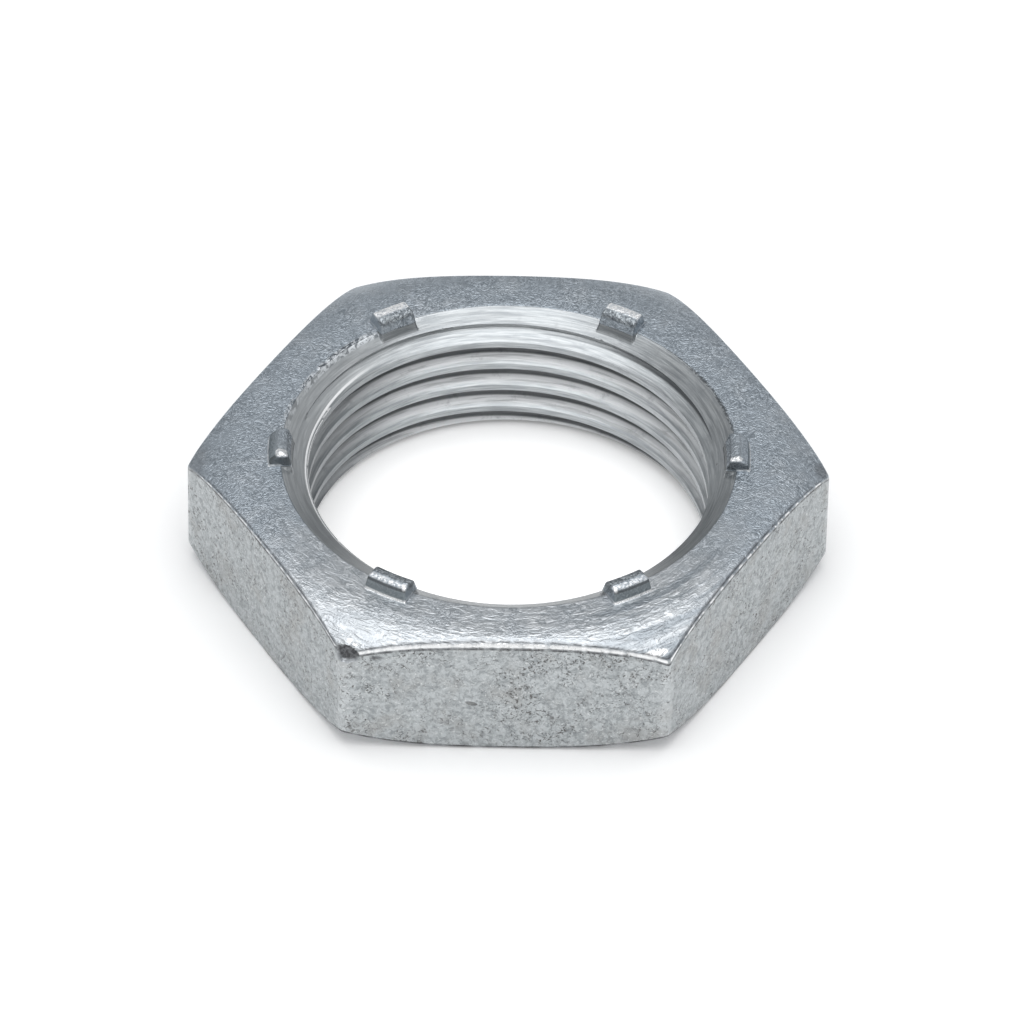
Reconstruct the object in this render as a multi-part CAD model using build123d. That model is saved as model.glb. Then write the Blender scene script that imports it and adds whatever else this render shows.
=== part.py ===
"""Hexagon lock nut with six locking nibs round its bore.

The nut is one forged and tapped piece of zinc-plated steel, in millimetres.
Its origin is the thread's axis in the plane of the lower bearing face, +Z runs
along the axis to the face with the nibs, and a hexagon corner points to +X.
"""
from build123d import *
from build123d.topology import SkipClean
from math import ceil, cos, pi, radians, tan
import os

INCH = 25.4

# Hexagon body
ACROSS_FLATS = 1.625 * INCH
THICKNESS = 10.6
CORNER_ROUNDING = 0.45

# Turned crown that takes the corners off the upper face along an arc, starting inside the flats
CROWN_INSET = 1.64
CROWN_RADIUS = 7.7
CROWN_SWEEP = 55.0

# Turned bevel that takes the corners off the lower face, starting inside the flats
BEVEL_INSET = 0.34
BEVEL_ANGLE = 22.0
RIM_CHAMFER = 0.12

# Thread, 1 1/4 inch with 12 turns to the inch, right-hand, 60 degree form
THREAD_MAJOR = 1.25 * INCH
THREAD_PITCH = INCH / 12
FLANK_ANGLE = 30.0
MINOR_TOLERANCE = 0.25
THREAD_START_ANGLE = 277.0
BORE_SECTORS = 6

# Countersinks at the ends of the thread, with their slope from the face
UPPER_SINK_DEPTH = 1.54
UPPER_SINK_ANGLE = 37.0
LOWER_SINK_DEPTH = 0.83
LOWER_SINK_ANGLE = 30.0

# Locking nibs, drafted and crowned pads on the upper face that overhang its countersink
NIB_COUNT = 6
NIB_TURN = 1.0
NIB_HEIGHT = 1.1
NIB_LENGTH = 3.6
NIB_WIDTH = 1.6
NIB_OVERHANG = 0.6
NIB_DRAFT = 16.0
NIB_EDGE_ROUNDING = 0.45

# Extra length by which a cutting tool runs past what it cuts
OVERRUN = 1.0

# Radii that follow from the thread's form, whose depth is 5/8 of the sharp triangle
SHARP_HEIGHT = THREAD_PITCH * cos(pi / 6)
MAJOR_RADIUS = THREAD_MAJOR / 2
MINOR_RADIUS = MAJOR_RADIUS - 5 / 8 * SHARP_HEIGHT + MINOR_TOLERANCE / 2
UPPER_SINK_RADIUS = MINOR_RADIUS + UPPER_SINK_DEPTH / tan(radians(UPPER_SINK_ANGLE))
LOWER_SINK_RADIUS = MINOR_RADIUS + LOWER_SINK_DEPTH / tan(radians(LOWER_SINK_ANGLE))

# The nibs' inner walls, which run down to the countersink, and how deep they are rooted
NIB_INNER_RADIUS = UPPER_SINK_RADIUS - NIB_OVERHANG
NIB_FOOT = NIB_OVERHANG / (1 / tan(radians(UPPER_SINK_ANGLE)) - tan(radians(NIB_DRAFT)))
NIB_ROOT = NIB_FOOT + OVERRUN / 5


def turned(*outline):
    """Solid of revolution about the thread's axis from a closed outline of radius and height."""
    return revolve(Plane.XZ * make_face(outline), Axis.Z)


def hexagon_body():
    """Hexagon bar, crowned above and bevelled below, with the rims of both broken."""
    hexagon = RegularPolygon(ACROSS_FLATS / 2, 6, major_radius=False)
    bar = extrude(hexagon, THICKNESS)
    bar = fillet(bar.edges().filter_by(Axis.Z), CORNER_ROUNDING)
    crown_centre = (ACROSS_FLATS / 2 - CROWN_INSET, THICKNESS - CROWN_RADIUS)
    crown = CenterArc(crown_centre, CROWN_RADIUS, 90 - CROWN_SWEEP, CROWN_SWEEP)
    reach = (crown @ 0).X
    bevel = ACROSS_FLATS / 2 - BEVEL_INSET
    bevel_rise = (reach - bevel) * tan(radians(BEVEL_ANGLE))
    rest = Polyline(crown @ 1, (0, THICKNESS), (0, 0), (bevel, 0), (reach, bevel_rise), crown @ 0)
    bar &= turned(crown, rest)
    curved = (GeomType.HYPERBOLA, GeomType.BSPLINE)
    rims = [edge for edge in bar.edges() if edge.geom_type in curved]
    return chamfer(rims, RIM_CHAMFER)


def countersinks():
    """Conical cutters that open both ends of the bore."""
    upper_tip = THICKNESS - UPPER_SINK_RADIUS * tan(radians(UPPER_SINK_ANGLE))
    lower_tip = LOWER_SINK_RADIUS * tan(radians(LOWER_SINK_ANGLE))
    upper = Polyline((0, upper_tip), (UPPER_SINK_RADIUS, THICKNESS), (0, THICKNESS), close=True)
    lower = Polyline((0, lower_tip), (LOWER_SINK_RADIUS, 0), (0, 0), close=True)
    return [turned(upper), turned(lower)]


def locking_nib():
    """One nib on the +X side: a drafted pad rooted in the body, with its top edges rounded."""
    spread = 2 * NIB_ROOT * tan(radians(NIB_DRAFT))
    foot = Rectangle(NIB_WIDTH + spread, NIB_LENGTH + spread)
    foot = Pos(NIB_INNER_RADIUS + NIB_WIDTH / 2, 0, THICKNESS - NIB_ROOT) * foot
    pad = extrude(foot, NIB_ROOT + NIB_HEIGHT, taper=NIB_DRAFT)
    return fillet(pad.edges().group_by(Axis.Z)[-1], NIB_EDGE_ROUNDING)


def bore_drill():
    """Cutter for the bore, in equal sectors that divide each crest into short faces."""
    sector = 360 / BORE_SECTORS
    height = THICKNESS + NIB_HEIGHT + 2 * OVERRUN
    section = Pos(MINOR_RADIUS / 2, height / 2 - OVERRUN) * Rectangle(MINOR_RADIUS, height)
    wedge = revolve(Plane.XZ * section, Axis.Z, sector)
    return [Rot(0, 0, sector * turn) * wedge for turn in range(BORE_SECTORS)]


def thread_groove():
    """Helical groove between the crests, turn by turn, running out past both ends."""
    inner = MINOR_RADIUS - OVERRUN / 4
    flank = tan(radians(FLANK_ANGLE))
    mouth = 3 / 4 * THREAD_PITCH + 2 * (MINOR_RADIUS - inner) * flank
    root = mouth - 2 * (MAJOR_RADIUS - inner) * flank
    section = Polyline(
        (inner, -mouth / 2),
        (MAJOR_RADIUS, -root / 2),
        (MAJOR_RADIUS, root / 2),
        (inner, mouth / 2),
        close=True,
    )
    path = Helix(THREAD_PITCH, THREAD_PITCH, inner)
    turn = sweep(Plane.XZ * make_face(section), path=path, is_frenet=True)
    turn = Pos(0, 0, -THREAD_PITCH) * Rot(0, 0, THREAD_START_ANGLE) * turn
    count = ceil(THICKNESS / THREAD_PITCH) + 2
    return [Pos(0, 0, THREAD_PITCH * place) * turn for place in range(count)]


def lock_nut():
    """The whole nut: body, bore and thread, then the nibs, whose seams stay with the thread's."""
    nut = hexagon_body() - countersinks()
    nib = locking_nib()
    with SkipClean():
        nut -= bore_drill()
        nut -= thread_groove()
        nut += [Rot(0, 0, NIB_TURN + 360 / NIB_COUNT * place) * nib for place in range(NIB_COUNT)]
    return nut


os.makedirs("parts", exist_ok=True)
export_step(lock_nut(), "parts/lock_nut.step")
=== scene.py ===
"""Looks of the hexagon lock nut: its worn surface, zinc plating, floor, light and camera.

The whole nut is one closed mesh, made of two grids that share their columns. One grid
follows the thread's helix down the bore, and the other goes over the nibs, out across the
face, down the flats and back under the nut to the bore. Each point of the mesh also says
how bright it is with bare wear and painted highlight, and how dark with painted shade.
"""

from math import asin, atan2, cos, degrees, pi, radians, sin, sqrt, tan
from types import SimpleNamespace

import bmesh
import bpy
import numpy as np
from mathutils import Matrix, Vector


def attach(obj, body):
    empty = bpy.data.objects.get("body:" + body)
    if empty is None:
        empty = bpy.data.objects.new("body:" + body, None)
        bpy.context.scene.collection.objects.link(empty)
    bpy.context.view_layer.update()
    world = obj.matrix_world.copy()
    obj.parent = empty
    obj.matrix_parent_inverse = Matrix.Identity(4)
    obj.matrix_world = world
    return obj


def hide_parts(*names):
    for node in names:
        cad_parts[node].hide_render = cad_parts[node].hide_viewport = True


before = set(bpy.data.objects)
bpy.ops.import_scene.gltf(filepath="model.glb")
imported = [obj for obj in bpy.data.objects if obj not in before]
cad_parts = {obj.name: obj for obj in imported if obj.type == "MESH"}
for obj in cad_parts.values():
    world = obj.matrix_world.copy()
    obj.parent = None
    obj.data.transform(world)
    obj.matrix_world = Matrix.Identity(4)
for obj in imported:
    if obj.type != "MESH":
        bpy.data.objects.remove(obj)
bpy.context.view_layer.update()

MM = 0.001
INCH = 25.4

# Body, in millimetres and degrees as everywhere below
ACROSS_FLATS = 1.625 * INCH
THICKNESS = 10.6
CORNER_ROUNDING = 0.45
CROWN_START = 19.0
CROWN_RADIUS = 7.7
LOWER_BEVEL_START = 20.3
LOWER_BEVEL_RISE = 0.2154
LOWER_BEVEL_POWER = 1.5

# Thread, with its flanks' slope and the half widths of its groove at the crests and root
PITCH = INCH / 12
MAJOR_RADIUS = 1.25 * INCH / 2
MINOR_RADIUS = 14.854
FLANK = tan(radians(30.0))
GROOVE_MOUTH = 3 / 8 * PITCH
GROOVE_ROOT = GROOVE_MOUTH - (MAJOR_RADIUS - MINOR_RADIUS) * FLANK
THREAD_START = radians(277.0)
ROOT_SOFTNESS = 0.09
CREST_SOFTNESS = 0.045

# Countersinks
UPPER_SINK_RADIUS = 16.9
UPPER_SINK_SLOPE = tan(radians(37.0))
LOWER_SINK_RADIUS = 16.29
LOWER_SINK_SLOPE = tan(radians(30.0))
SINK_RIM_SOFTNESS = 0.05

# Circle on both countersinks where the thread's grid ends, and its two heights
THREAD_EDGE_RADIUS = 15.95
THREAD_TOP = THICKNESS - (UPPER_SINK_RADIUS - THREAD_EDGE_RADIUS) * UPPER_SINK_SLOPE
THREAD_BOTTOM = (LOWER_SINK_RADIUS - THREAD_EDGE_RADIUS) * LOWER_SINK_SLOPE
THREAD_EDGE_MARGIN = 0.02

# Search for the creases of thread and countersink: how far past both faces, and its steps
CREASE_MARGIN = 0.2
CREASE_STEPS = 1500

# Nibs: each one's angle round the bore, inner and outer radius, and length
NIBS = (
    (0.35, 16.1, 17.85, 3.4),
    (61.0, 16.3, 18.2, 3.05),
    (121.0, 16.3, 18.2, 3.05),
    (180.6, 16.1, 17.8, 3.4),
    (240.6, 16.3, 18.2, 3.45),
    (300.6, 16.3, 18.2, 3.2),
)
NIB_HEIGHT = 1.15
NIB_DRAFT = 16.0
NIB_END_DRAFT = 8.0
NIB_TOP_ROUNDING = 0.36
NIB_INNER_ROUNDING = 0.7
NIB_OUTER_ROUNDING = 0.32
NIB_END_ROUNDING = 0.3
NIB_EDGE_FULLNESS = 5
NIB_FOOT_SOFTNESS = 0.2

# Painted highlight line round the feet of the nibs
FOOT_HIGHLIGHT = 0.22

# Which end of each front nib faces forward, and where its corner with a painted highlight is
# inside the pad
FRONT_ENDS = {4: 1, 5: -1}
NIB_CORNER_HIGHLIGHT_INSET = (0.32, 0.42)
NIB_CORNER_HIGHLIGHT_SIZE = 0.22

# Middle of the stretch where the lip between thread and countersink is worn bright, with a painted
# highlight
LIP_HIGHLIGHT_ANGLE = 195.0

# Search for the height of a nib's surface, by halving
LOWEST_NIB = -3.0
HALVINGS = 26

# Nib that the grid is laid out for, whose columns each nib stretches to its own length
GRID_NIB_LENGTH = 3.6
GRID_INNER_RADIUS = 16.3
GRID_OUTER_RADIUS = 18.2
NIB_ZONE_RADIUS = 18.5
NIB_ZONE_LENGTH = 4.2

# Distance along a nib that stands for a column between the nibs, far past any nib's end
BETWEEN_NIBS = 1000.0

# Distances inwards from the foot of a nib's wall at which the grid has a line
WALL_LINES = (-0.16, -0.08, -0.03, 0.02, 0.07, 0.12, 0.17, 0.22, 0.27, 0.32, 0.38, 0.45, 0.53)
INNER_WALL_LINES = (-0.27, -0.22, -0.17, -0.12, -0.07, -0.02, 0.03, 0.08, 0.13, 0.18)
INNER_TOP_LINES = (0.24, 0.31, 0.39, 0.48, 0.6, 0.74)
TOP_COLUMNS = 6
GAP_COLUMNS = 68

# Degrees to each side of a hexagon's tip that the columns of a nib's top, and all of a nib's
# columns, take up at the flats
TIP_COLUMNS_SPREAD = 0.62
NIB_COLUMNS_SPREAD = 7.2

# Rows of the grid: shares of the way over the crown, down the flats and in under the nut
CROWN_SHARES = (0.16, 0.32, 0.47, 0.6, 0.71, 0.8, 0.88, 0.94, 0.98)
CROWN_TURN = 0.6
FLAT_SHARES = (0.2, 0.4, 0.6, 0.8, 1.0)
BEVEL_SHARES = (0.33, 0.66, 1.0)
UNDERSIDE_SHARES = (0.1, 0.3, 0.5, 0.7, 0.9, 1.0)
UNDERSIDE_TURN = 0.8

# Rows round a rim as shares of its turn, with how bright each is on the upper one with wear and
# painted highlight and how dark with painted shade, and the distances below it of the flats' first
# rows
RIM_SHARES = (1.0, 0.84, 0.7, 0.6, 0.5, 0.38, 0.26, 0.15, 0.06)
RIM_BARE_AND_LIT = (0.0, 0.0, 0.0, 0.0, 0.55, 1.0, 1.0, 0.4, 0.0)
RIM_DARK = (0.0, 0.1, 0.4, 0.9, 0.2, 0.0, 0.0, 0.6, 1.0)
FLAT_LINES = (0.0, 0.08, 0.2, 0.4, 0.65, 0.95, 1.35, 2.0)

# Rims, flat by flat from the one facing 30 degrees: wear with painted highlight, and painted shade
# on both rims
RIM_ROUNDING = (0.24, 0.24, 0.24, 0.38, 0.74, 0.46)
RIM_WEAR_AND_HIGHLIGHT = (0.15, 0.1, 0.15, 0.75, 1.2, 0.85)
RIM_BREAKS = (0.3, 0.3, 0.3, 0.7, 0.3, 1.0)
RIM_PAINTED_SHADE = (0.2, 0.2, 0.2, 0.95, 0.9, 1.0)
LOWER_RIM_ROUNDING = (0.2, 0.2, 0.2, 0.18, 0.33, 0.18)
# painted contact shadow on the lower rims' rounding
LOWER_RIM_SHADOW = 0.95
CORNER_BLEND = 3.0

# How much rounder the rims are at the hexagon's tips, and over how many degrees
TIP_BLUNTING = 0.3
LOWER_TIP_BLUNTING = 0.12
TIP_SPAN = 1.6

# Uneven wear with painted highlight, and painted shade, along the rims: seed, shortest and longest
# wave, and count of waves
RIM_BREAK_WAVES = (11, 0.4, 2.5, 11)
RIM_SHADE_WAVES = (12, 0.5, 4.0, 9)
LOWER_SHADOW_WAVES = (13, 1.0, 6.0, 9)
RIM_MM_PER_DEGREE = 0.36

# Dents, darkened with painted shade, and patches of painted shade, which have no depth: angle,
# radius, height, half width, half length, depth and darkness
DENTS_AND_SHADE_PATCHES = (
    (240.4, 23.5, 8.95, 1.15, 0.66, 0.34, 1.0),
    (180.0, 23.2, 9.5, 2.2, 1.0, 0.0, 0.35),
    (0.0, 23.3, 9.5, 1.0, 0.7, 0.0, 0.5),
    (245.2, 22.7, 8.85, 1.5, 0.2, 0.0, 0.9),
)

# Painted highlights on the upper face along ridges: angle, radius, height, half width, half length
# and strength
RIDGE_HIGHLIGHTS = (
    (240.6, 22.82, 9.6, 0.9, 0.16, 1.0),
    (297.9, 23.05, 9.38, 1.5, 0.48, 0.85),
)

# Dark dash on the front flat: middle across and up, and half lengths
DASH_PLACE = (-2.46, 4.5)
DASH_SIZE = (0.45, 0.2)

# Welding distance of the grids, and the angle from which an edge of the mesh is a sharp one
WELD_DISTANCE = 0.002
SHARP_ANGLE = 32.0

# Plating, as pairs of a dark and a light tone
# a shaded and a lit copy of the upper face's plating, as painted shade and painted light
SHADED_FACE = ((0.255, 0.29, 0.325), (0.48, 0.53, 0.58))
LIT_FACE = ((0.38, 0.405, 0.425), (0.69, 0.71, 0.73))
FLAT_TONES = ((0.32, 0.34, 0.35), (0.53, 0.555, 0.565))
BORE_TONES = ((0.31, 0.33, 0.345), (0.49, 0.51, 0.52))
TEETH_TONES = ((0.1, 0.115, 0.13), (0.7, 0.73, 0.76))
NIB_TOP_TONES = ((0.09, 0.1, 0.11), (0.42, 0.45, 0.47))

# Tones painted over the plating
FACE_BAND = (0.17, 0.205, 0.24)
FACE_CREASE = (0.14, 0.16, 0.18)
FLAT_STAIN = (0.37, 0.36, 0.345)
FLAT_SPECK = (0.75, 0.76, 0.76)
# painted highlight on the rounded vertical corners of the flats
CORNER_EDGE_HIGHLIGHT = (0.75, 0.77, 0.78)
FLAT_PIT = (0.13, 0.125, 0.12)
FLAT_DASH = (0.08, 0.075, 0.07)
# painted light in the thread's grooves
GROOVE_LIGHT = (0.86, 0.87, 0.88)
BORE_SCORE = (0.17, 0.18, 0.19)
BORE_SMUDGE = (0.28, 0.295, 0.31)
CHATTER_TONE = (0.09, 0.1, 0.11)
# painted shade for the thread's left side, and painted highlights for the left countersink and the
# lip
LEFT_BORE_SHADE = (0.13, 0.14, 0.15)
LEFT_SINK_HIGHLIGHT = (0.75, 0.77, 0.78)
LIP_HIGHLIGHT = (0.95, 0.955, 0.96)
# painted shade for the nibs' outer walls and front end walls, and for lines under bright edges
NIB_WALL_SHADE = (0.15, 0.17, 0.165)
NIB_END_SHADE = (0.07, 0.078, 0.082)
SHADE_LINE = (0.07, 0.075, 0.08)
# bare zinc and painted highlights
BARE_AND_HIGHLIGHT = (0.93, 0.935, 0.94)
# painted shade
PAINTED_SHADE = (0.08, 0.08, 0.085)

# How far the coordinates of the turned figures reach round the axis in one radian
STREAK_STRETCH = 6.5
LINE_STRETCH = 0.8

# Camera, fitted to the outline of the nut in the photograph
CAMERA_TURN = -0.091
CAMERA_RISE = 41.973
CAMERA_ROLL = 1.006
CAMERA_DISTANCE = 741.73
FOCAL_PIXELS = 9935.8
IMAGE_PIXELS = 1024
SENSOR = 36.0
ORIGIN_PIXEL = (507.0, 559.08)
ORIGIN_DROP = 0.13

# Floor, in metres: its reach, its colour, how bright it shows, and the brighter round inside
# the bore, which is painted light
FLOOR_REACH = 1.5
FLOOR_COLOUR = (0.92, 0.92, 0.92, 1)
FLOOR_GLOW = (0.09, 0.09, 0.09, 1)
BORE_FLOOR_PAINTED_LIGHT = (0.3, 0.3, 0.3, 1)
BORE_FLOOR_EDGE = (0.012, 0.018)

# Softbox, in metres: size, place along y and z, and how bright it looks
SOFTBOX_SIZE = 0.46
SOFTBOX_PLACE = (-0.07, 0.39)
SOFTBOX_GLOW = 1.8

# Room, and its paler part in front of the nut
ROOM_COLOUR = (0.55, 0.56, 0.57, 1)
ROOM_FRONT = (0.9, 0.905, 0.91, 1)


def smoothstep(low, high, value):
    share = np.clip((value - low) / (high - low), 0, 1)
    return share * share * (3 - 2 * share)


def soft_max(first, second, width):
    """The larger of two surfaces, blended where they are nearer than width."""
    near = np.clip(width - np.abs(first - second), 0, None)
    return np.maximum(first, second) + near * near / (4 * width)


def soft_min(first, second, width):
    return -soft_max(-first, -second, width)


def waves(seed, shortest, longest, count, places):
    """Smooth pseudo-random curve over places, about -1 to 1, with wavelengths in a range."""
    chance = np.random.default_rng(seed)
    total = np.zeros_like(places, dtype=float)
    for _ in range(count):
        length = shortest * (longest / shortest) ** chance.random()
        total += np.sin(2 * pi * (places / length + chance.random()))
    return total / sqrt(count / 2)


def degrees_off_tip(angle):
    """Degrees from the nearest of the hexagon's tips, at 0, 60 and so on degrees."""
    return np.abs((np.degrees(angle) + 30) % 60 - 30)


def hexagon_radius(angle):
    """Distance from the axis to the hexagon's outline, with its rounded corners."""
    off_tip = degrees_off_tip(angle)
    centre = (ACROSS_FLATS / 2 - CORNER_ROUNDING) / cos(pi / 6)
    tangent = degrees(atan2(CORNER_ROUNDING / 2, centre + CORNER_ROUNDING * cos(pi / 6)))
    turn = np.radians(off_tip)
    inside = np.clip(CORNER_ROUNDING**2 - (centre * np.sin(turn)) ** 2, 0, None)
    arc = centre * np.cos(turn) + np.sqrt(inside)
    flat = ACROSS_FLATS / 2 / np.cos(np.radians(30 - off_tip))
    return np.where(off_tip < tangent, arc, flat)


def crown_height(radius):
    """Upper face, flat near the bore and falling along an arc towards the corners."""
    out = np.clip(radius - CROWN_START, 0, None)
    return THICKNESS - CROWN_RADIUS + np.sqrt(CROWN_RADIUS**2 - out**2)


def crown_slope(radius):
    out = np.clip(radius - CROWN_START, 0, None)
    return out / np.sqrt(CROWN_RADIUS**2 - out**2)


def bevel_height(radius):
    """Lower face, flat near the bore and rising ever faster towards the corners."""
    return LOWER_BEVEL_RISE * np.clip(radius - LOWER_BEVEL_START, 0, None) ** LOWER_BEVEL_POWER


def bevel_slope(radius):
    out = np.clip(radius - LOWER_BEVEL_START, 0, None)
    return LOWER_BEVEL_POWER * LOWER_BEVEL_RISE * out ** (LOWER_BEVEL_POWER - 1)


def sink_face(radius):
    """Height over the face of upper face and countersink as one sheet."""
    cone = (radius - UPPER_SINK_RADIUS) * UPPER_SINK_SLOPE
    return soft_min(cone, crown_height(radius) - THICKNESS, SINK_RIM_SOFTNESS)


def nib_sheet(radius, along, inner_radius, outer_radius):
    """Height over the face of one nib's drafted and rounded pad, carried on downwards."""
    lean = tan(radians(NIB_DRAFT))
    square = cos(radians(NIB_DRAFT))
    low = np.full_like(radius, LOWEST_NIB)
    high = np.full_like(radius, NIB_HEIGHT)
    for _ in range(HALVINGS):
        middle = (low + high) / 2
        inner = inner_radius + middle * lean - radius
        outer = radius - outer_radius + middle * lean
        end = np.abs(along) - GRID_NIB_LENGTH / 2 + middle * tan(radians(NIB_END_DRAFT))
        walls = 0
        for distance, rounding in (
            (inner, NIB_INNER_ROUNDING),
            (outer, NIB_OUTER_ROUNDING),
            (end, NIB_END_ROUNDING),
        ):
            walls = walls + np.clip(1 + distance * square / rounding, 0, None) ** NIB_EDGE_FULLNESS
        top = np.clip(1 + (middle - NIB_HEIGHT) / NIB_TOP_ROUNDING, 0, None)
        outside = walls ** (2 / NIB_EDGE_FULLNESS) + top**2 > 1
        high = np.where(outside, middle, high)
        low = np.where(outside, low, middle)
    return (low + high) / 2


def column_lines():
    """Places of the grid's columns: each nib's own lines, then an even share of the gap.

    Gives for each column the nib before it, its distance along that nib or None, and its
    share of the gap to the next nib. The last column repeats the first one turn further on.
    """
    ends = [GRID_NIB_LENGTH / 2 - line for line in WALL_LINES]
    top = list(np.linspace(0, ends[-1], TOP_COLUMNS)[1:-1])
    half = [NIB_ZONE_LENGTH / 2] + ends + top[::-1]
    along = [-place for place in half] + [0.0] + half[::-1]
    columns = []
    for nib in range(len(NIBS)):
        columns += [(nib, place, 0.0) for place in along]
        columns += [(nib, None, share / GAP_COLUMNS) for share in range(1, GAP_COLUMNS)]
    return columns + [(len(NIBS), along[0], 0.0)]


COLUMNS = column_lines()


def nib_angle(nib):
    """Angle of a nib in radians, counting on past a full turn."""
    return radians(NIBS[nib % len(NIBS)][0] + 360 * (nib // len(NIBS)))


def nib_stretch(nib):
    """Length of a nib as a share of the one that the grid is laid out for."""
    return NIBS[nib % len(NIBS)][3] / GRID_NIB_LENGTH


def nib_zone_reach(nib, radius):
    """Radians from a nib's middle to the end of its zone, on a circle."""
    return asin(nib_stretch(nib) * NIB_ZONE_LENGTH / 2 / radius)


def column_angles(radius):
    """Angle of every column where it crosses a circle within the nibs' zone."""
    angles = []
    for nib, along, share in COLUMNS:
        if along is None:
            start = nib_angle(nib) + nib_zone_reach(nib, radius)
            stop = nib_angle(nib + 1) - nib_zone_reach(nib + 1, radius)
            angles.append(start + share * (stop - start))
        else:
            angles.append(nib_angle(nib) + asin(along * nib_stretch(nib) / radius))
    return np.array(angles)


def outer_angles():
    """Angle of every column at the flats, drawn together round the hexagon's tips."""
    top = GRID_NIB_LENGTH / 2 - WALL_LINES[-1]
    angles = []
    for nib, along, share in COLUMNS:
        if along is None:
            angles.append(60 * nib + NIB_COLUMNS_SPREAD + share * (60 - 2 * NIB_COLUMNS_SPREAD))
        elif abs(along) <= top:
            angles.append(60 * nib + along / top * TIP_COLUMNS_SPREAD)
        else:
            beyond = (abs(along) - top) / (NIB_ZONE_LENGTH / 2 - top)
            out = TIP_COLUMNS_SPREAD + beyond * (NIB_COLUMNS_SPREAD - TIP_COLUMNS_SPREAD)
            angles.append(60 * nib + (out if along > 0 else -out))
    return np.radians(angles)


def thread_lines():
    """Heights over a groove's middle of the grid's lines in one pitch of thread."""
    half = [0.16, GROOVE_ROOT + 0.05, GROOVE_ROOT + 0.19, (GROOVE_ROOT + GROOVE_MOUTH) / 2 + 0.08]
    half += [GROOVE_MOUTH - 0.05, GROOVE_MOUTH + 0.01, GROOVE_MOUTH + 0.07]
    return np.array([-place for place in half[::-1]] + [0.0] + half + [PITCH / 2])


def thread_radius(height, angle):
    """Radius of the thread's surface at any height and angle."""
    turn = height / PITCH - (angle - THREAD_START) / (2 * pi)
    off = np.abs(turn - np.round(turn)) * PITCH
    slope = MAJOR_RADIUS - (off - GROOVE_ROOT) / FLANK
    radius = soft_min(slope, np.full_like(slope, MAJOR_RADIUS), ROOT_SOFTNESS)
    return soft_max(radius, np.full_like(slope, MINOR_RADIUS), CREST_SOFTNESS)


def sink_radius(height):
    """Radius of whichever countersink is wider at a height in the bore."""
    upper = UPPER_SINK_RADIUS - (THICKNESS - height) / UPPER_SINK_SLOPE
    lower = LOWER_SINK_RADIUS - height / LOWER_SINK_SLOPE
    return np.maximum(upper, lower)


def snap_to_creases(height, angle):
    """Moves the nearest grid line on to each crease where the thread meets a countersink."""
    fine = np.linspace(-CREASE_MARGIN, THICKNESS + CREASE_MARGIN, CREASE_STEPS)
    snapped = height.copy()
    crease = np.zeros_like(height)
    for column in range(height.shape[1]):
        gap = thread_radius(fine, angle[0, column]) - sink_radius(fine)
        for place in np.nonzero(gap[:-1] * gap[1:] < 0)[0]:
            share = gap[place] / (gap[place] - gap[place + 1])
            row = np.abs(height[:, column] - fine[place]).argmin()
            snapped[row, column] = fine[place] + share * (fine[1] - fine[0])
            crease[row, column] = 1
    return snapped, crease


def thread_grid():
    """Radius, angle, height, wear with painted highlight, and painted shade of the bore's grid,
    whose lines follow the helix.
    """
    angles = column_angles(THREAD_EDGE_RADIUS)
    pitches = range(-1, int(THREAD_TOP / PITCH) + 3)
    lines = np.concatenate([thread_lines() + PITCH * pitch for pitch in pitches])
    turns = (angles - THREAD_START) / (2 * pi)
    height = lines[:, None] + PITCH * turns
    angle = np.broadcast_to(angles, height.shape)
    height, crease = snap_to_creases(height, angle)
    radius = np.maximum(thread_radius(height, angle), sink_radius(height))
    over = height > THREAD_TOP - THREAD_EDGE_MARGIN
    under = height < THREAD_BOTTOM + THREAD_EDGE_MARGIN
    height = np.where(over, THREAD_TOP, np.where(under, THREAD_BOTTOM, height))
    radius = np.where(over | under, THREAD_EDGE_RADIUS, radius)
    # wear with a painted highlight along the crease of the lip
    lip_highlight = smoothstep(0.0, 0.5, np.cos(angle - radians(LIP_HIGHLIGHT_ANGLE)))
    lip_highlight = lip_highlight * (thread_radius(height, angle) < MINOR_RADIUS + 0.1) * (height > THICKNESS / 2)
    wear_and_highlight = np.where(over | under, 0, crease * lip_highlight)
    return radius, angle, height, wear_and_highlight, 0 * wear_and_highlight


def nib_rows():
    """Radii of the rows from the thread's edge to the end of the nibs' zone."""
    rows = [THREAD_EDGE_RADIUS]
    rows += [GRID_INNER_RADIUS + line for line in INNER_WALL_LINES + INNER_TOP_LINES]
    rows += [GRID_OUTER_RADIUS - line for line in WALL_LINES[::-1]]
    return rows + [NIB_ZONE_RADIUS]


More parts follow.
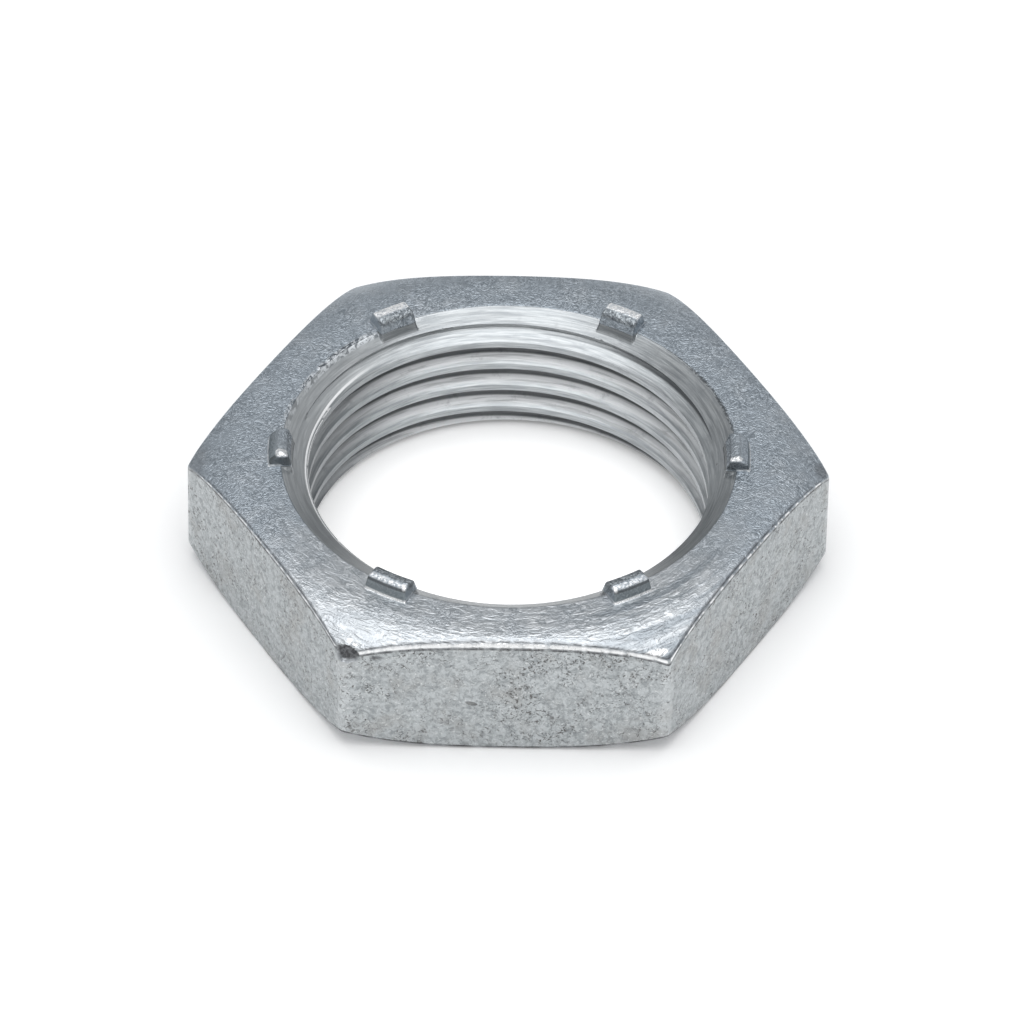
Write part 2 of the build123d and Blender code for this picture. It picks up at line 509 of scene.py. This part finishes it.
def face_height(radius, nib, along):
    """Height, and painted highlight at the nibs' feet and front corners, of the face, countersink
    and nibs at one circle, for every column.
    """
    face = sink_face(np.full(len(COLUMNS), radius))
    inner = np.array([NIBS[number % len(NIBS)][1] for number in nib])
    outer = np.array([NIBS[number % len(NIBS)][2] for number in nib])
    on_nib = (np.abs(along) < NIB_ZONE_LENGTH) & (radius > THREAD_EDGE_RADIUS)
    raised = nib_sheet(radius, along, inner, outer)
    height = THICKNESS + np.where(on_nib, soft_max(face, raised, NIB_FOOT_SOFTNESS), face)
    # painted highlight along the foot of each nib
    foot_highlight = np.exp(-(((raised - face) / FOOT_HIGHLIGHT) ** 2)) * on_nib * (radius > UPPER_SINK_RADIUS)
    # painted highlight on the forward top corner of each front nib
    frontward = np.array([FRONT_ENDS.get(number, 0) for number in nib])
    off_end = along * frontward - (GRID_NIB_LENGTH / 2 - NIB_CORNER_HIGHLIGHT_INSET[0])
    off_corner = np.hypot(off_end, radius - outer + NIB_CORNER_HIGHLIGHT_INSET[1])
    corner = np.exp(-((off_corner / NIB_CORNER_HIGHLIGHT_SIZE) ** 2)) * np.abs(frontward)
    return height, np.maximum(foot_highlight, corner)


def by_flat(values, angle):
    """A value for each flat from the one facing 30 degrees, blended over the corners."""
    past = np.degrees(angle) % 60
    side = np.floor(np.degrees(angle) % 360 / 60).astype(int) % 6
    values = np.array(values)
    before = 0.5 * (1 - smoothstep(0, CORNER_BLEND, past))
    after = 0.5 * smoothstep(60 - CORNER_BLEND, 60, past)
    own = values[side] * (1 - before - after)
    return own + values[side - 1] * before + values[(side + 1) % 6] * after


def rim_light_and_shade(angle):
    """How bright the upper rim is with wear and painted highlight, and how dark with painted
    shade, broken up along its length.
    """
    along = np.degrees(angle) % 360 * RIM_MM_PER_DEGREE
    breaks = by_flat(RIM_BREAKS, angle)
    bare_and_lit = 1.15 - 0.35 * breaks + breaks * waves(*RIM_BREAK_WAVES, along)
    rim_shade = 0.9 + 0.4 * waves(*RIM_SHADE_WAVES, along)
    wear_and_highlight = by_flat(RIM_WEAR_AND_HIGHLIGHT, angle) * np.clip(bare_and_lit, 0, 1)
    return wear_and_highlight, by_flat(RIM_PAINTED_SHADE, angle) * np.clip(rim_shade, 0, 1)


def rim(outline, surface_height, slope, rounding, upward):
    """Rows of the rounding between a face that falls by slope and the upright flats."""
    tilt = np.arctan(slope)
    middle = surface_height - upward * rounding * np.sqrt(1 + slope**2)
    rows = []
    for share in RIM_SHARES:
        turn = share * (pi / 2 - tilt)
        inset = rounding * (1 - np.cos(turn))
        rows.append((outline - inset, middle + upward * rounding * np.sin(turn)))
    return rows, middle


def reach(radius, angle, height, mark):
    """How far every point is from the middle of a mark on the outside, with 1 at its edge."""
    turn, out, level, across, tall = mark
    off = radius * np.sin(angle - radians(turn))
    opposite = np.where(np.cos(angle - radians(turn)) > 0, 0, 9)
    return np.hypot(off / across, np.hypot(height - level, radius - out) / tall) + opposite


def marked(grid):
    """The grid with each dent pressed towards the axis and darkened with painted shade, and each
    ridge given a painted highlight.
    """
    radius, angle, height, wear_and_highlight, shade = grid
    for *mark, depth, dark in DENTS_AND_SHADE_PATCHES:
        press = 1 - smoothstep(0.6, 1.05, reach(radius, angle, height, mark))
        radius = radius - depth * press
        shade = np.maximum(shade, dark * press)
        wear_and_highlight = wear_and_highlight * (1 - press)
    for *mark, lit in RIDGE_HIGHLIGHTS:
        ridge_light = 1 - smoothstep(0.5, 1.2, reach(radius, angle, height, mark))
        wear_and_highlight = np.maximum(wear_and_highlight, lit * ridge_light)
    return radius, angle, height, wear_and_highlight, shade


def shell_grid():
    """Radius, angle, height, wear with painted highlight, and painted shade of the grid over the
    face, flats and underside.
    """
    nib = [column[0] for column in COLUMNS]
    along = [BETWEEN_NIBS if column[1] is None else column[1] for column in COLUMNS]
    along = np.array(along)
    inner = column_angles(NIB_ZONE_RADIUS)
    outer = outer_angles()
    bore = column_angles(THREAD_EDGE_RADIUS)
    outline = hexagon_radius(outer)
    blunt = np.exp(-((degrees_off_tip(outer) / TIP_SPAN) ** 2))
    rounding = by_flat(RIM_ROUNDING, outer) + TIP_BLUNTING * blunt
    corner = outline - rounding
    upper_rim, upper_middle = rim(outline, crown_height(corner), crown_slope(corner), rounding, 1)
    rounding = by_flat(LOWER_RIM_ROUNDING, outer) + LOWER_TIP_BLUNTING * blunt
    corner = outline - rounding
    lower_rim, lower_middle = rim(outline, bevel_height(corner), bevel_slope(corner), rounding, -1)
    rows = []

    def add_row(radius, angle, height, wear_and_highlight=0.0, shade=0.0):
        rows.append(np.stack(np.broadcast_arrays(radius, angle, height, wear_and_highlight, shade)))

    for radius in nib_rows():
        add_row(radius, column_angles(radius), *face_height(radius, nib, along))
    for share in CROWN_SHARES:
        radius = NIB_ZONE_RADIUS + share * (upper_rim[0][0] - NIB_ZONE_RADIUS)
        turn = smoothstep(0, CROWN_TURN, share)
        add_row(radius, inner + turn * (outer - inner), crown_height(radius))
    wear_and_highlight, rim_shade = rim_light_and_shade(outer)
    # the upper rim's rows: bands of wear and painted highlight, and lines of painted shade
    for (radius, height), bare_and_lit, dark in zip(upper_rim, RIM_BARE_AND_LIT, RIM_DARK):
        add_row(radius, outer, height, bare_and_lit * wear_and_highlight, dark * rim_shade)

    # the flats' first row: a dark line of painted shade under the rim
    add_row(outline, outer, upper_middle, 0.0, rim_shade)
    for drop in FLAT_LINES[1:]:
        add_row(outline, outer, upper_middle - drop)
    top = upper_middle - FLAT_LINES[-1]
    for share in FLAT_SHARES:
        add_row(outline, outer, top + share * (lower_middle - top))

    # painted contact shadow along the lower rim, uneven in waves
    lower_shadow = 0.8 + 0.3 * waves(*LOWER_SHADOW_WAVES, np.degrees(outer) * RIM_MM_PER_DEGREE)
    for radius, height in lower_rim[::-1]:
        add_row(radius, outer, height, 0.0, LOWER_RIM_SHADOW * np.clip(lower_shadow, 0, 1))
    edge = lower_rim[0][0]
    for share in BEVEL_SHARES:
        radius = edge + share * (LOWER_BEVEL_START - edge)
        add_row(radius, outer, bevel_height(radius))
    for share in UNDERSIDE_SHARES:
        radius = LOWER_BEVEL_START + share * (LOWER_SINK_RADIUS - LOWER_BEVEL_START)
        turn = smoothstep(0, UNDERSIDE_TURN, share)
        add_row(radius, outer + turn * (bore - outer), 0.0)
    add_row(THREAD_EDGE_RADIUS, bore, THREAD_BOTTOM)
    return marked(np.stack(rows, axis=1))


def add_grid(shape, grid):
    """Adds a grid of quads to a mesh from its radii, angles, heights, wear with painted highlight,
    and painted shade.
    """
    radius, angle, height, wear_and_highlight, shade = grid
    wear_and_highlight_layer = shape.verts.layers.float["wear_and_highlight"]
    shade_layer = shape.verts.layers.float["shade"]
    places = np.stack([radius * np.cos(angle), radius * np.sin(angle), height], -1) * MM
    points = [[shape.verts.new(place) for place in row] for row in places]
    for row, row_wear_and_highlight, row_shade in zip(points, wear_and_highlight, shade):
        for point, point_wear_and_highlight, point_shade in zip(row, row_wear_and_highlight, row_shade):
            point[wear_and_highlight_layer] = point_wear_and_highlight
            point[shade_layer] = point_shade
    for low, high in zip(points[:-1], points[1:]):
        for column in range(len(low) - 1):
            shape.faces.new((low[column], low[column + 1], high[column + 1], high[column]))


def make_nut():
    """The nut's whole surface, welded where the two grids and their ends meet."""
    shape = bmesh.new()
    shape.verts.layers.float.new("wear_and_highlight")
    shape.verts.layers.float.new("shade")
    add_grid(shape, thread_grid())
    add_grid(shape, shell_grid())
    bmesh.ops.remove_doubles(shape, verts=shape.verts, dist=WELD_DISTANCE * MM)
    bmesh.ops.recalc_face_normals(shape, faces=shape.faces)
    mesh = bpy.data.meshes.new("nut_surface")
    shape.to_mesh(mesh)
    shape.free()
    mesh.shade_smooth()
    mesh.set_sharp_from_angle(angle=radians(SHARP_ANGLE))
    nut = bpy.data.objects.new("nut_surface", mesh)
    bpy.context.scene.collection.objects.link(nut)
    return nut


class Signal:
    """A number from a node's output, with arithmetic that adds the Math nodes it needs."""

    def __init__(self, finish, socket):
        self.finish = finish
        self.socket = socket

    def math(self, operation, *others):
        return self.finish.node("ShaderNodeMath", {"operation": operation}, (self, *others))

    def __add__(self, other):
        return self.math("ADD", other)

    def __sub__(self, other):
        return self.math("SUBTRACT", other)

    def __rsub__(self, other):
        return self.finish.node("ShaderNodeMath", {"operation": "SUBTRACT"}, (other, self))

    def __mul__(self, other):
        return self.math("MULTIPLY", other)

    def __truediv__(self, other):
        return self.math("DIVIDE", other)

    def __rtruediv__(self, other):
        return self.finish.node("ShaderNodeMath", {"operation": "DIVIDE"}, (other, self))

    __radd__ = __add__
    __rmul__ = __mul__

    def step(self, low, high):
        """0 below low, 1 above high, and a smooth rise between."""
        settings = {"interpolation_type": "SMOOTHSTEP", "clamp": True}
        inputs = {"Value": self, "From Min": low, "From Max": high}
        return self.finish.node("ShaderNodeMapRange", settings, inputs)

    def band(self, low, full, fading, high):
        """1 between full and fading, and 0 below low and above high."""
        return self.step(low, full) * (1 - self.step(fading, high))


class Finish:
    """A node tree with one method that adds any node, its settings first and then its inputs."""

    def __init__(self, tree):
        self.tree = tree
        tree.nodes.clear()

    def node(self, kind, settings=None, inputs=None, output=0):
        made = self.tree.nodes.new(kind)
        for name, value in (settings or {}).items():
            setattr(made, name, value)
        pairs = inputs.items() if isinstance(inputs, dict) else enumerate(inputs or ())
        for name, value in pairs:
            if isinstance(value, Signal):
                self.tree.links.new(value.socket, made.inputs[name])
            else:
                made.inputs[name].default_value = value
        return Signal(self, made.outputs[output]) if len(made.outputs) else None

    def parts(self, vector):
        """The three numbers of a vector."""
        first = self.node("ShaderNodeSeparateXYZ", None, (vector,))
        return [Signal(self, socket) for socket in first.socket.node.outputs]

    def mix(self, share, first, second):
        """Colour that goes from the first to the second as share goes from 0 to 1."""
        inputs = {0: share, 6: first, 7: second}
        return self.node("ShaderNodeMix", {"data_type": "RGBA"}, inputs, output=2)

    def paint(self, share, colour, tone):
        """Colour with one plain tone over it where share is 1."""
        return self.mix(share, colour, (*tone, 1))

    def tones(self, share, dark, light):
        """Colour between two plain tones as share goes from 0 to 1."""
        return self.mix(share, (*dark, 1), (*light, 1))

    def noise(self, place, scale, detail=2.0, roughness=0.5, distortion=0.0):
        """Noise from about 0 to 1, with scale as bumps in a millimetre."""
        inputs = {
            "Vector": place,
            "Scale": scale,
            "Detail": detail,
            "Roughness": roughness,
            "Distortion": distortion,
        }
        return self.node("ShaderNodeTexNoise", None, inputs)


def zinc_places(zinc):
    """Where a point of the surface is, in millimetres, and the parts of the nut it is on."""
    own = zinc.node("ShaderNodeTexCoord", output="Object")
    place = zinc.node("ShaderNodeVectorMath", {"operation": "SCALE"}, {0: own, "Scale": 1 / MM})
    x, y, z = zinc.parts(place)
    normal_x, normal_y, normal_z = zinc.parts(zinc.node("ShaderNodeNewGeometry", output="Normal"))
    radius = (x * x + y * y).math("SQRT")
    around = y.math("ARCTAN2", x)
    at = SimpleNamespace(place=place, x=x, z=z, radius=radius, around=around)
    at.turned = zinc.node("ShaderNodeCombineXYZ", None, (radius, around * STREAK_STRETCH, z))
    at.wound = zinc.node("ShaderNodeCombineXYZ", None, (radius, around * LINE_STRETCH, z))
    at.rise = z - THICKNESS
    at.forward = 0 - y
    at.to_right = x / radius
    at.to_left = 0 - at.to_right
    at.to_back = y / radius
    at.upright = normal_z.math("ABSOLUTE")
    at.outward = ((normal_x * x + normal_y * y) / radius).step(0.3, 0.6)
    at.on_nib = at.rise.step(0.02, 0.1)
    at.off_nib = 1 - at.on_nib
    at.on_flat = (1 - at.upright.step(0.25, 0.5)) * radius.step(19.5, 20.0)
    at.in_bore = (1 - radius.step(UPPER_SINK_RADIUS - 0.06, UPPER_SINK_RADIUS + 0.04)) * at.off_nib
    at.in_groove = radius.step(MINOR_RADIUS + 0.1, MAJOR_RADIUS - 0.5) * (1 - z.step(7.4, 8.4))
    at.behind = at.to_back.step(0.2, 0.9)
    at.front = (0 - at.to_back).step(0.3, 0.8) * at.off_nib
    at.aside = at.to_right.math("ABSOLUTE").step(0.9, 0.95)
    return at


def face_layer(zinc, at):
    """Upper face: wormy tumbled plating, with wavy turning streaks at the front, painted lighter
    at the front and darker behind as light and shade.
    """
    worms = zinc.noise(at.place, 1.9, 1.3, 0.6, 2.8)
    grain = zinc.noise(at.place, 3.8, 1.0, 0.5, 1.6)
    clouds = zinc.noise(at.place, 0.42, 3.0, 0.6)
    streaks = zinc.noise(at.turned, 2.3, 1.5, 0.6, 1.6)
    streaky = at.front * clouds.step(0.25, 0.5)
    figure = worms + streaky * (streaks - worms)
    patches = zinc.noise(at.place, 0.5, 2.0, 0.5, 0.5).step(0.36, 0.62)
    calm = at.radius.step(19.8, 21.5) * at.front * 0.45
    fleck = (figure * 0.65 + grain * 0.35).step(0.34, 0.66)
    fleck = (fleck - 0.5) * (patches * 0.8 + 0.4 - calm) + 0.5
    shaded = zinc.tones(fleck, *SHADED_FACE)
    lit = zinc.tones(fleck, *LIT_FACE)
    # painted light: the front of the face lighter and the back darker
    colour = zinc.mix(at.front * 0.85 + (clouds - 0.5) * 1.2, shaded, lit)
    bands = zinc.noise(at.wound, 1.3, 2.0, 0.5, 0.5).step(0.46, 0.58)
    bands = bands * at.front * (at.to_right.step(0.15, 0.5) * 0.5 + 0.03)
    colour = zinc.paint(bands, colour, FACE_BAND)
    creases = 1 - (figure - 0.5).math("ABSOLUTE").step(0.0, 0.03)
    colour = zinc.paint(creases * (patches * 0.4 + 0.1), colour, FACE_CREASE)
    relief = figure * 0.08 + grain * 0.02
    rough = 0.4 + (worms - 0.5) * 0.2 - at.front * 0.05
    return colour, relief, rough


def flat_layer(zinc, at):
    """Flats: matt and mottled, with clusters of small dark pits and a few light specks."""
    grain = zinc.noise(at.place, 2.1, 4.0, 0.68, 0.9)
    clusters = zinc.noise(at.place, 0.45, 4.0, 0.65).step(0.44, 0.6)
    pits = zinc.noise(at.place, 4.0, 2.0, 0.55, 1.2).step(0.55, 0.66) * (0.2 + clusters * 0.7)
    specks = zinc.noise(at.place, 5.1, 2.0, 0.5).step(0.62, 0.7)
    stains = zinc.noise(at.place, 0.3, 4.0, 0.62).step(0.48, 0.7)
    colour = zinc.tones(grain.step(0.34, 0.62), *FLAT_TONES)
    colour = zinc.paint(stains * 0.45, colour, FLAT_STAIN)
    colour = zinc.paint(specks * 0.6, colour, FLAT_SPECK)
    # painted highlight on the rounded vertical corners
    colour = zinc.paint(at.radius.step(23.45, 23.65) * 0.25, colour, CORNER_EDGE_HIGHLIGHT)
    colour = zinc.paint(pits, colour, FLAT_PIT)
    across = (at.x - DASH_PLACE[0]) / DASH_SIZE[0]
    rise = (at.z - DASH_PLACE[1] + across * 0.1) / DASH_SIZE[1]
    dash = 1 - (across * across + rise * rise).step(0.5, 1.3)
    colour = zinc.paint(dash * at.front * 0.6, colour, FLAT_DASH)
    relief = grain * 0.06 - pits * 0.05
    rough = 0.5 + (grain - 0.5) * 0.2
    return colour, relief, rough


def bore_layer(zinc, at):
    """Thread and countersinks: fine turned lines and faint smudges, palest in the grooves, where
    light is painted in.
    """
    lines = zinc.noise(at.wound, 8.0, 3.0, 0.65)
    smudges = zinc.noise(at.place, 0.8, 4.0, 0.65).step(0.55, 0.75)
    scores = zinc.noise(at.wound, 3.2, 2.0, 0.6).step(0.5, 0.64)
    colour = zinc.tones(lines.step(0.3, 0.7), *BORE_TONES)
    # painted light in the grooves, strongest at the back, where their shade falls
    colour = zinc.paint(at.in_groove * (at.behind * 0.6 + 0.4), colour, GROOVE_LIGHT)
    colour = zinc.paint(scores * 0.4, colour, BORE_SCORE)
    colour = zinc.paint(smudges * 0.5, colour, BORE_SMUDGE)
    return colour, lines * 0.014, 0.34 + (lines - 0.5) * 0.2


def over(zinc, share, lower, upper):
    """One layer over another where share is 1, each a colour, a relief and a roughness."""
    colour = zinc.mix(share, lower[0], upper[0])
    relief = lower[1] + share * (upper[1] - lower[1])
    rough = lower[2] + share * (upper[2] - lower[2])
    return colour, relief, rough


def sink_marks(zinc, at, colour):
    """Countersink: chatter marks and torn teeth on its rim, painted shade on the thread's left
    side, a painted highlight on the countersink's left side and on the lip.
    """
    rows = at.around * 26.0 + at.radius * 1.2
    comb = zinc.node("ShaderNodeCombineXYZ", None, (rows, at.radius * 2.6, 0.0))
    notches = zinc.noise(comb, 1.0, 3.0, 0.62, 1.3).step(0.4, 0.58)
    chatter = at.radius.band(16.7, 16.8, 16.98, 17.08) * at.off_nib * (1 - notches)
    chatter = chatter * at.to_right.step(0.6, 0.85) * at.to_back.step(-0.1, 0.3)
    colour = zinc.paint(chatter * 0.8, colour, CHATTER_TONE)
    gaps = zinc.noise(at.place, 0.55, 2.0, 0.6).step(0.3, 0.5)
    teeth = at.radius.band(16.5, 16.65, 17.1, 17.3) * at.off_nib * gaps
    teeth = teeth * at.to_left.step(0.3, 0.75) * at.to_back.step(-0.1, 0.5)
    colour = zinc.mix(teeth, colour, zinc.tones(notches, *TEETH_TONES))
    left = at.in_bore * at.to_left.step(0.45, 0.9)
    # painted shade on the left of the thread, painted highlight on the left of the countersink
    colour = zinc.paint(left * (1 - at.z.step(9.0, 9.1)) * 0.45, colour, LEFT_BORE_SHADE)
    colour = zinc.paint(left * at.z.step(9.1, 9.2) * 0.3, colour, LEFT_SINK_HIGHLIGHT)
    # painted highlight along the lip
    lip_highlight = at.z.band(9.13, 9.17, 9.22, 9.26) * at.in_bore * at.to_left.step(0.6, 0.85)
    return zinc.paint(lip_highlight * 0.9, colour, LIP_HIGHLIGHT), lip_highlight


def nib_marks(zinc, at, colour):
    """Nibs: walls darkened with painted shade, mottled inner edges with painted shade, and painted
    highlights as strips and caps on their tops.
    """
    # painted shade on the nibs' outward walls
    wall_shade = at.on_nib * (1 - at.upright.step(0.45, 0.8)) * at.outward
    colour = zinc.paint(wall_shade * 0.5, colour, NIB_WALL_SHADE)
    # mottled plating darkened with painted shade on the inner part of the nibs' tops
    inner_edge = 17.25 - at.aside * 0.2 - at.behind * 0.35
    inner_shade = (1 - (at.radius - inner_edge).step(0.0, 0.2)) * at.rise.step(0.5, 0.8) * (1 - wall_shade)
    mottle = zinc.noise(at.place, 3.6, 3.0, 0.65, 1.0).step(0.42, 0.6)
    mottle = zinc.tones(mottle, *NIB_TOP_TONES)
    colour = zinc.mix(inner_shade * (0.75 - at.aside * 0.5), colour, mottle)
    # painted shade on the front end walls of the side nibs
    end_wall_shade = at.rise.band(0.1, 0.2, 0.78, 0.88) * at.aside * at.forward.step(1.4, 1.5)
    colour = zinc.paint(end_wall_shade * 0.75, colour, NIB_END_SHADE)
    # a line of painted shade under the bright strip on the nibs' outer edges
    edge_shade_line = at.rise.band(0.7, 0.8, 0.9, 0.99) * at.outward * (1 - at.aside)
    colour = zinc.paint(edge_shade_line * 0.7, colour, SHADE_LINE)
    # painted highlights: a strip along the outer top edge of the front and back nibs, and a cap on
    # the side nibs' front ends
    strip_highlight = at.rise.step(0.92, 1.06) * (at.radius + at.behind * 0.4).step(17.38, 17.56)
    strip_highlight = strip_highlight * (1 - at.aside)
    cap_highlight = at.rise.step(0.84, 0.95) * at.aside * at.forward.step(1.05, 1.2)
    return colour, strip_highlight, cap_highlight


def zinc_finish():
    """Tumbled zinc plating: wormy on the faces, pitted on the flats, turned in the bore, with
    painted highlights and painted shade.
    """
    material = bpy.data.materials.new("zinc_plate_finish")
    material.use_nodes = True
    zinc = Finish(material.node_tree)
    at = zinc_places(zinc)
    layer = over(zinc, at.on_flat, face_layer(zinc, at), flat_layer(zinc, at))
    colour, relief, rough = over(zinc, at.in_bore, layer, bore_layer(zinc, at))
    colour, lip_highlight = sink_marks(zinc, at, colour)
    colour, strip_highlight, cap_highlight = nib_marks(zinc, at, colour)

    wear_and_highlight = zinc.node("ShaderNodeAttribute", {"attribute_name": "wear_and_highlight"}, output="Fac")
    shade = zinc.node("ShaderNodeAttribute", {"attribute_name": "shade"}, output="Fac")
    chips = zinc.noise(at.place, 3.5, 2.0, 0.5).step(0.3, 0.46)
    spots = zinc.noise(at.place, 4.2, 2.0, 0.6).step(0.4, 0.6)
    # bare wear and painted highlights, from the bright attribute and the nibs' strips and caps
    bared_and_lit = wear_and_highlight.step(0.35, 0.95) * (chips * 0.45 + at.in_bore * 0.45 + 0.55)
    bared_and_lit = bared_and_lit + strip_highlight * (spots * 0.7 + at.behind * 0.35 + 0.05) + cap_highlight * (spots * 0.4 + 0.6)
    bared_and_lit = bared_and_lit.math("MINIMUM", 1.0)
    colour = zinc.paint(bared_and_lit, colour, BARE_AND_HIGHLIGHT)
    # painted shade from the per-point shade attribute
    colour = zinc.paint(shade * (spots * 0.18 + 0.82), colour, PAINTED_SHADE)
    # painted shadow at the root of each groove, under the crest above
    root = at.radius.step(MAJOR_RADIUS - 0.32, MAJOR_RADIUS - 0.16)
    root = root * (1 - at.z.step(8.9, 9.2)) * at.in_bore
    colour = zinc.paint(root * 0.85, colour, SHADE_LINE)
    deep = at.in_groove * at.in_bore * at.behind * (1 - root)
    metallic = 1 - deep * 0.6 - strip_highlight * 0.3 - lip_highlight * 0.6
    bump = zinc.node("ShaderNodeBump", None, {"Strength": 1.0, "Distance": MM, "Height": relief})
    inputs = {
        "Base Color": colour,
        "Metallic": metallic,
        "Roughness": rough - bared_and_lit * 0.12,
        "Normal": bump,
    }
    shader = zinc.node("ShaderNodeBsdfPrincipled", None, inputs)
    zinc.node("ShaderNodeOutputMaterial", None, {"Surface": shader})
    return material


def camera_axes():
    """Right, up and backward directions of the camera."""
    turn = radians(CAMERA_TURN)
    rise = radians(CAMERA_RISE)
    roll = radians(CAMERA_ROLL)
    back = Vector((sin(turn) * cos(rise), -cos(turn) * cos(rise), sin(rise)))
    level = Vector((0, 0, 1)).cross(back).normalized()
    right = level * cos(roll) + back.cross(level) * sin(roll)
    return right, back.cross(right), back


def make_camera():
    """Camera at the photograph's viewing angle, turned to centre its frame."""
    right, upward, back = camera_axes()
    across = (IMAGE_PIXELS / 2 - ORIGIN_PIXEL[0]) / FOCAL_PIXELS
    down = (IMAGE_PIXELS / 2 - ORIGIN_PIXEL[1]) / FOCAL_PIXELS
    eye = back * CAMERA_DISTANCE * MM + Vector((0, 0, ORIGIN_DROP * MM))
    aim = (-back + right * across - upward * down).normalized()
    side = aim.cross(upward).normalized()
    axes = Matrix((side, side.cross(aim), -aim)).transposed().to_4x4()
    data = bpy.data.cameras.new("camera")
    data.sensor_width = SENSOR
    data.lens = SENSOR * FOCAL_PIXELS / IMAGE_PIXELS
    camera = bpy.data.objects.new("camera", data)
    camera.matrix_world = Matrix.Translation(eye) @ axes
    bpy.context.scene.collection.objects.link(camera)
    bpy.context.scene.camera = camera


def make_floor():
    """Plain white floor that shows white to the camera and keeps the nut's shadow, with painted
    light on the round inside the bore.
    """
    mesh = bpy.data.meshes.new("floor")
    low, high = -FLOOR_REACH, FLOOR_REACH
    corners = [(low, low, 0), (high, low, 0), (high, high, 0), (low, high, 0)]
    mesh.from_pydata(corners, [], [(0, 1, 2, 3)])
    floor = bpy.data.objects.new("floor", mesh)
    bpy.context.scene.collection.objects.link(floor)
    material = bpy.data.materials.new("floor_paper")
    material.use_nodes = True
    paper = Finish(material.node_tree)
    seen = paper.node("ShaderNodeLightPath", output="Is Camera Ray")
    seen = seen + paper.node("ShaderNodeLightPath", output="Is Glossy Ray")
    place = paper.node("ShaderNodeTexCoord", output="Object")
    far = paper.node("ShaderNodeVectorMath", {"operation": "LENGTH"}, (place,), output=1)
    glow_and_painted_light = paper.mix(far.step(*BORE_FLOOR_EDGE), BORE_FLOOR_PAINTED_LIGHT, FLOOR_GLOW)
    inputs = {
        "Base Color": FLOOR_COLOUR,
        "Roughness": 0.9,
        "Specular IOR Level": 0.0,
        "Emission Color": paper.mix(seen, (0, 0, 0, 1), glow_and_painted_light),
        "Emission Strength": 1.0,
    }
    shader = paper.node("ShaderNodeBsdfPrincipled", None, inputs)
    paper.node("ShaderNodeOutputMaterial", None, {"Surface": shader})
    mesh.materials.append(material)


def make_light():
    """One broad softbox overhead, a little to the front, in a grey room that is paler in front."""
    data = bpy.data.lights.new("softbox", "AREA")
    data.shape = "SQUARE"
    data.size = SOFTBOX_SIZE
    data.energy = SOFTBOX_GLOW * pi * SOFTBOX_SIZE**2
    lamp = bpy.data.objects.new("softbox", data)
    lamp.location = (0, *SOFTBOX_PLACE)
    lamp.rotation_euler = (atan2(*SOFTBOX_PLACE), 0, 0)
    bpy.context.scene.collection.objects.link(lamp)
    world = bpy.data.worlds.new("room")
    bpy.context.scene.world = world
    world.use_nodes = True
    room = Finish(world.node_tree)
    direction = room.node("ShaderNodeTexCoord", output="Generated")
    ahead = 0 - room.parts(direction)[1]
    colour = room.mix(ahead.step(0.3, 0.8), ROOM_COLOUR, ROOM_FRONT)
    background = room.node("ShaderNodeBackground", None, {"Color": colour, "Strength": 1.0})
    room.node("ShaderNodeOutputWorld", None, {"Surface": background})


nut = make_nut()
nut.data.materials.append(zinc_finish())
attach(nut, "root")
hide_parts("lock_nut")
make_floor()
make_light()
make_camera()
bpy.context.scene.view_settings.view_transform = "Standard"
